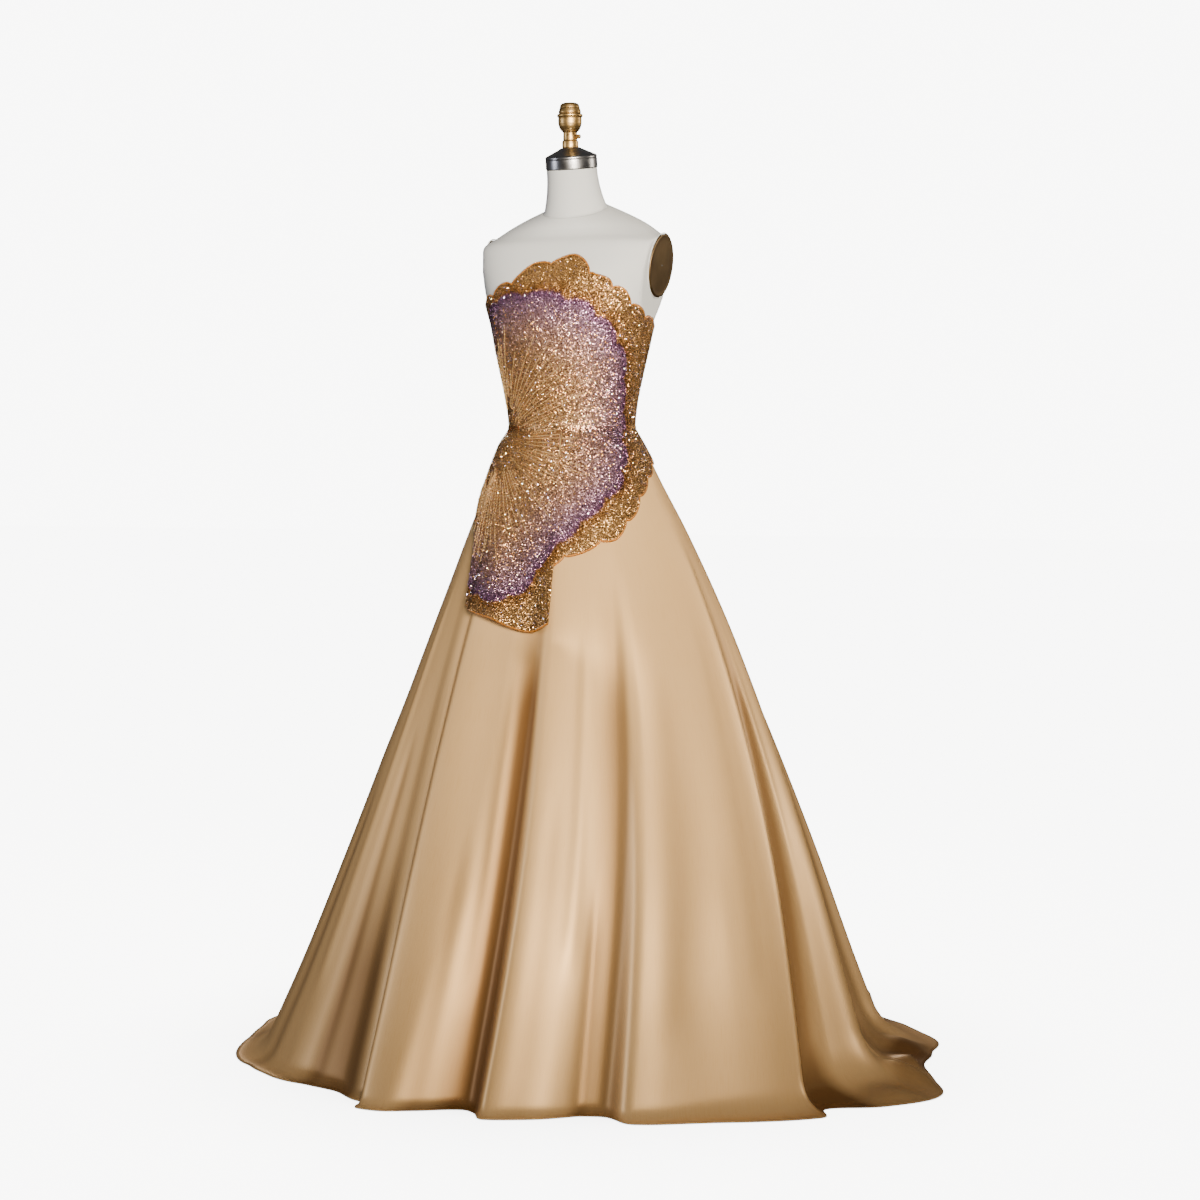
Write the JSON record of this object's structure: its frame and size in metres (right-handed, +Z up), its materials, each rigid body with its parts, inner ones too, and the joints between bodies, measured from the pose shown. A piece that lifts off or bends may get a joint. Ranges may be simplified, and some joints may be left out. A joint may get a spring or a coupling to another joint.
{
  "type": "evening gown on dress form",
  "caption": "Strapless a-line evening gown: scalloped beaded bodice, hip overlay and hanging panel over a flared satin skirt with a short train, on a limbless dress form.",
  "frame": {"origin": "On the floor, at the middle of the stand's round foot, on the pole's axis.", "axes": "+Z up, the gown's front faces -Y, the figure's left is +X."},
  "size_m": [1.4155, 1.567, 1.798],
  "materials": {
    "gold_satin": "smooth duchess satin with a soft sheen",
    "gold_beadwork": "sequins, beads and metallic thread on net",
    "form_cloth": "matt pale grey woven cover",
    "brushed_steel": "turned and brushed",
    "turned_brass": "aged, satin",
    "antique_brass": "dark and worn",
    "black_iron": "semi-matt black"
  },
  "bodies": {
    "root": {"bodice_front": "gold_beadwork", "bodice_back_left": "gold_beadwork", "bodice_back_right": "gold_beadwork", "hip_overlay": "gold_beadwork", "front_panel": "gold_beadwork", "skirt_front": "gold_satin", "skirt_back_left": "gold_satin", "skirt_back_right": "gold_satin", "form_torso": "form_cloth", "form_neck": "form_cloth", "neck_cap": "brushed_steel", "finial": "turned_brass", "cap_screw": "turned_brass", "arm_plate_left": "antique_brass", "arm_plate_right": "antique_brass", "stand_pole": "black_iron", "stand_base": "black_iron"}
  },
  "joints": []
}
